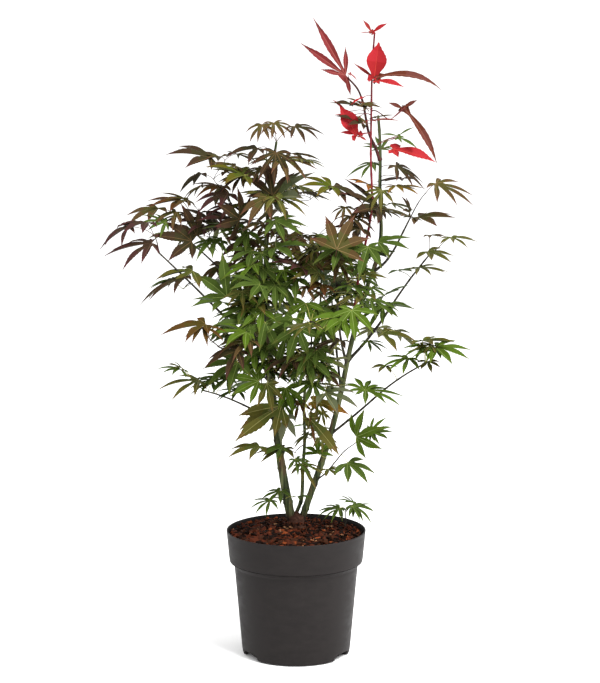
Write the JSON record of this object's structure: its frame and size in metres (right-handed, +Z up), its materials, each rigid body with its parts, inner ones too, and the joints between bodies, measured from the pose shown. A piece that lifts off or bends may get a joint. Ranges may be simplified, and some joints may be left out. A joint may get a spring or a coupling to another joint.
{
  "type": "potted japanese maple",
  "caption": "Young Japanese maple with slim stems, drooping deep-cut bronze, green and red leaves, standing in a round dark nursery pot of bark-covered compost.",
  "frame": {"origin": "centre of the pot's flat underside", "axes": "+Z up along the pot's axis; -Y is the front, the side that the picture shows; +X is to the right of the front view"},
  "size_m": [0.5115, 0.3401, 0.879],
  "materials": {
    "pot_plastic": "matt moulded polypropylene, dark warm grey, faint vertical sheen",
    "bark_compost": "loose composted bark chips, rough, red brown with pale and dark chips",
    "stem_bark": "smooth young bark, grey green with pale streaks and brown scars",
    "twig_bark": "smooth dark purple brown bark of the thin boughs and twigs",
    "red_bark": "smooth crimson bark of this season's shoot",
    "green_leaf": "soft satin green leaf",
    "bronze_leaf": "soft satin bronze to purple leaf",
    "red_leaf": "soft satin scarlet to dull red young leaf"
  },
  "bodies": {
    "root": {"pot": "pot_plastic", "soil": "bark_compost", "stool": "stem_bark", "left_stem": "stem_bark", "middle_stem": "stem_bark", "right_stem": "stem_bark", "second_leader": "twig_bark", "red_shoot": "red_bark", "dark_red_shoot": "red_bark", "bough_low_left": "twig_bark", "bough_front_left": "twig_bark", "bough_far_left": "twig_bark", "bough_upper_left": "twig_bark", "bough_high_left": "twig_bark", "bough_back_left": "twig_bark", "bough_back_high": "twig_bark", "bough_front": "twig_bark", "bough_low_right": "twig_bark", "twig_low_right": "twig_bark", "bough_right": "twig_bark", "bough_inner_right": "twig_bark", "bough_back_right": "twig_bark", "bough_upper_right": "twig_bark", "basal_shoot_left": "twig_bark", "basal_shoot_right": "twig_bark", "leaves_left_top": "bronze_leaf", "leaves_left_high": "bronze_leaf", "leaves_left_leader": "bronze_leaf", "leaves_far_left_tip": "bronze_leaf", "leaves_far_left": "bronze_leaf", "leaves_upper_left": "bronze_leaf", "leaves_inner_left": "green_leaf", "leaves_front_left": "bronze_leaf", "leaves_low_left": "green_leaf", "leaves_under_left": "green_leaf", "leaves_foot_left": "bronze_leaf", "leaves_centre_front": "green_leaf", "leaves_centre": "bronze_leaf", "leaves_centre_low": "green_leaf", "leaves_inner_right": "green_leaf", "leaves_right_leader": "bronze_leaf", "leaves_right_top": "bronze_leaf", "leaves_red_left": "red_leaf", "leaves_red_tip": "red_leaf", "leaves_red_right": "red_leaf", "leaves_red_cluster": "red_leaf", "leaves_dull_red": "red_leaf", "leaves_upper_right": "bronze_leaf", "leaves_right_tip": "bronze_leaf", "leaves_right": "green_leaf", "leaves_low_right_tip": "green_leaf", "leaves_low_right": "green_leaf", "leaves_twig_right": "green_leaf", "leaves_basal_left": "green_leaf", "leaves_basal_right": "green_leaf", "leaves_back_left": "green_leaf", "leaves_back_right": "green_leaf", "leaves_back_high": "bronze_leaf", "leaves_front": "green_leaf"}
  },
  "joints": []
}
